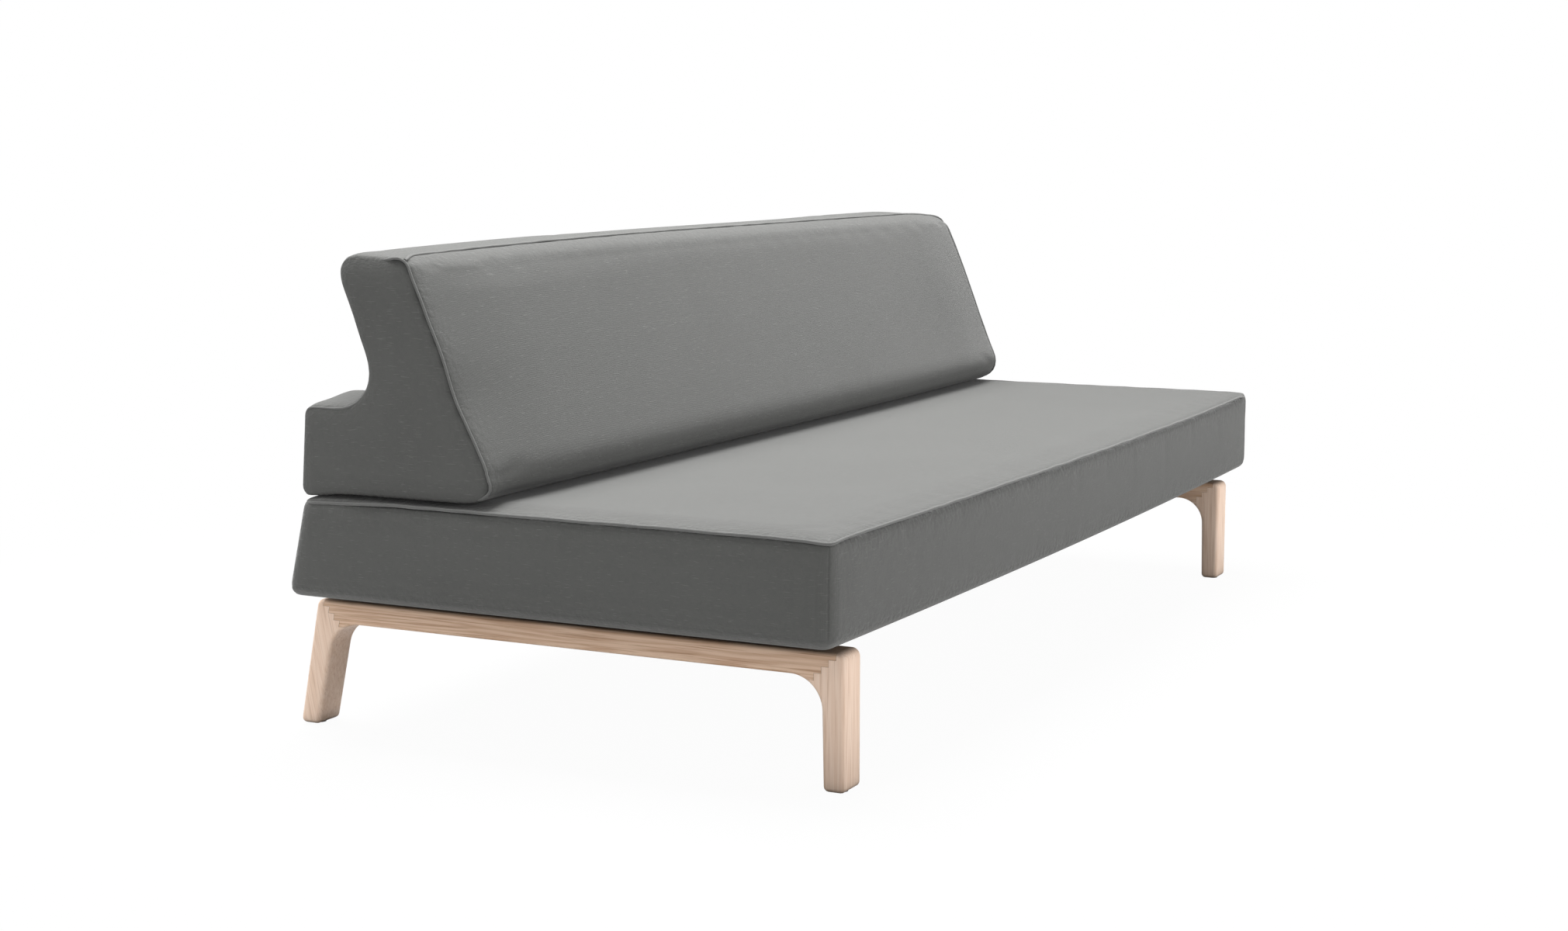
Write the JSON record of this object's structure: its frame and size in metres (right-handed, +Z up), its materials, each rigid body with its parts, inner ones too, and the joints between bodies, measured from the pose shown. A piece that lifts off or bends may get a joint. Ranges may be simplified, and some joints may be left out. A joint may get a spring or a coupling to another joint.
{
  "type": "armless sofa bed",
  "caption": "Armless sofa bed: thick upholstered foam seat with a loose Z-profile back cushion, on low ash leg frames whose corners are stepped comb joints.",
  "frame": {"origin": "on the floor, under the middle of the sofa's bounding box", "axes": "+X along the sofa's length, to the right as seen from the front; -Y is the front, where a sitter's legs go; +Z is up"},
  "size_m": [2, 0.9422, 0.7278],
  "materials": {
    "ash": "satin",
    "pine": "matte",
    "birch_slat": "satin",
    "plywood": "matte",
    "steel": "satin",
    "spacer_plastic": "matte",
    "glide_plastic": "matte",
    "foam": "matte",
    "cover_cloth": "matte",
    "welt_cloth": "matte",
    "lining_cloth": "matte"
  },
  "bodies": {
    "sofa_base": {"left_rail": "ash", "right_rail": "ash", "left_front_leg": "ash", "right_front_leg": "ash", "left_rear_leg": "ash", "right_rear_leg": "ash", "foot_glides": "glide_plastic", "rail_bolts": "steel", "bolt_washers": "steel", "seat_spacers": "spacer_plastic", "tee_nuts": "steel", "front_beam": "pine", "rear_beam": "pine", "left_end_beam": "pine", "right_end_beam": "pine", "left_bearer": "pine", "right_bearer": "pine", "middle_bearer": "pine", "corner_blocks": "pine", "frame_screws": "steel", "slat_1": "birch_slat", "slat_2": "birch_slat", "slat_3": "birch_slat", "slat_4": "birch_slat", "slat_5": "birch_slat", "slat_6": "birch_slat", "slat_7": "birch_slat", "slat_8": "birch_slat", "slat_9": "birch_slat", "slat_10": "birch_slat", "slat_11": "birch_slat", "slat_12": "birch_slat", "slat_13": "birch_slat", "seat_foam": "foam", "seat_top_panel": "cover_cloth", "seat_front_panel": "cover_cloth", "seat_rear_panel": "cover_cloth", "seat_left_panel": "cover_cloth", "seat_right_panel": "cover_cloth", "seat_bottom_panel": "lining_cloth", "seat_welt": "welt_cloth"},
    "back_cushion": {"back_foot_foam": "foam", "back_upper_foam": "foam", "back_base_board": "plywood", "back_upright_board": "plywood", "back_ribs": "plywood", "back_screws": "steel", "back_front_panel": "cover_cloth", "back_rear_panel": "cover_cloth", "back_foot_panel": "cover_cloth", "back_base_panel": "lining_cloth", "back_left_panel": "cover_cloth", "back_right_panel": "cover_cloth", "back_end_welts": "welt_cloth", "back_top_welt": "welt_cloth"}
  },
  "joints": [
    {"name": "back_lift", "type": "slide", "parent": "sofa_base", "child": "back_cushion", "axis": [0, 0, 1], "range_m": [0, 0.3]}
  ]
}
